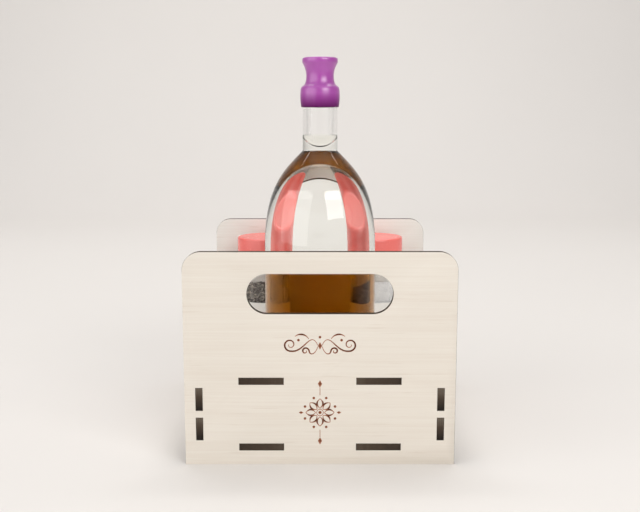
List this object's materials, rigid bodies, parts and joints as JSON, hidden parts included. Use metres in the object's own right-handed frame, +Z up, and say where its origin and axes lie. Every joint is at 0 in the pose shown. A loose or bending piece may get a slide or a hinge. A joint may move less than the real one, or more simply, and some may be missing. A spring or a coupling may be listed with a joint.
{
  "type": "condiment organizer",
  "caption": "Laser-cut plywood table caddy with a hand hole in each end panel and a pierced shelf that holds a capped dressing bottle and lidded spice jars.",
  "frame": {"origin": "on the table under the middle of the caddy's footprint", "axes": "+Z up, +Y from the front panel to the back panel, +X to the right as seen from the front"},
  "size_m": [0.16, 0.181, 0.2406],
  "materials": {
    "plywood": "bare pale plywood with fine level grain and dark laser-charred edges",
    "bottle_glass": "clear gloss",
    "vinegar": "clear dark amber liquid",
    "oil": "clear pale liquid",
    "cap_plastic": "satin purple",
    "liner_foam": "matte white",
    "jar_glass": "clear gloss",
    "pepper": "coarse dark grains",
    "salt": "fine white grains",
    "label_paper": "matte blank paper",
    "sifter_plastic": "satin white",
    "lid_plastic": "satin coral red"
  },
  "bodies": {
    "caddy": {"front_panel": "plywood", "back_panel": "plywood", "base_plate": "plywood", "shelf_plate": "plywood", "left_side_board": "plywood", "right_side_board": "plywood"},
    "bottle": {"bottle_glass": "bottle_glass", "vinegar": "vinegar", "oil": "oil"},
    "bottle_stopper": {"bottle_cap": "cap_plastic", "cap_liner": "liner_foam"},
    "pepper_jar": {"pepper_jar_glass": "jar_glass", "pepper_fill": "pepper", "pepper_label": "label_paper", "pepper_sifter": "sifter_plastic"},
    "pepper_top": {"pepper_lid": "lid_plastic", "pepper_lid_liner": "liner_foam"},
    "salt_jar": {"salt_jar_glass": "jar_glass", "salt_fill": "salt", "salt_label": "label_paper", "salt_sifter": "sifter_plastic"},
    "salt_top": {"salt_lid": "lid_plastic", "salt_lid_liner": "liner_foam"}
  },
  "joints": [
    {"name": "bottle_lift", "type": "slide", "parent": "caddy", "child": "bottle", "axis": [0, 0, 1], "range_m": [0, 0.13]},
    {"name": "cap_pull", "type": "slide", "parent": "bottle", "child": "bottle_stopper", "axis": [0, 0, 1], "range_m": [0, 0.03]},
    {"name": "pepper_jar_lift", "type": "slide", "parent": "caddy", "child": "pepper_jar", "axis": [0, 0, 1], "range_m": [0, 0.13]},
    {"name": "pepper_lid_lift", "type": "slide", "parent": "pepper_jar", "child": "pepper_top", "axis": [0, 0, 1], "range_m": [0, 0.04]},
    {"name": "salt_jar_lift", "type": "slide", "parent": "caddy", "child": "salt_jar", "axis": [0, 0, 1], "range_m": [0, 0.13]},
    {"name": "salt_lid_lift", "type": "slide", "parent": "salt_jar", "child": "salt_top", "axis": [0, 0, 1], "range_m": [0, 0.04]}
  ]
}
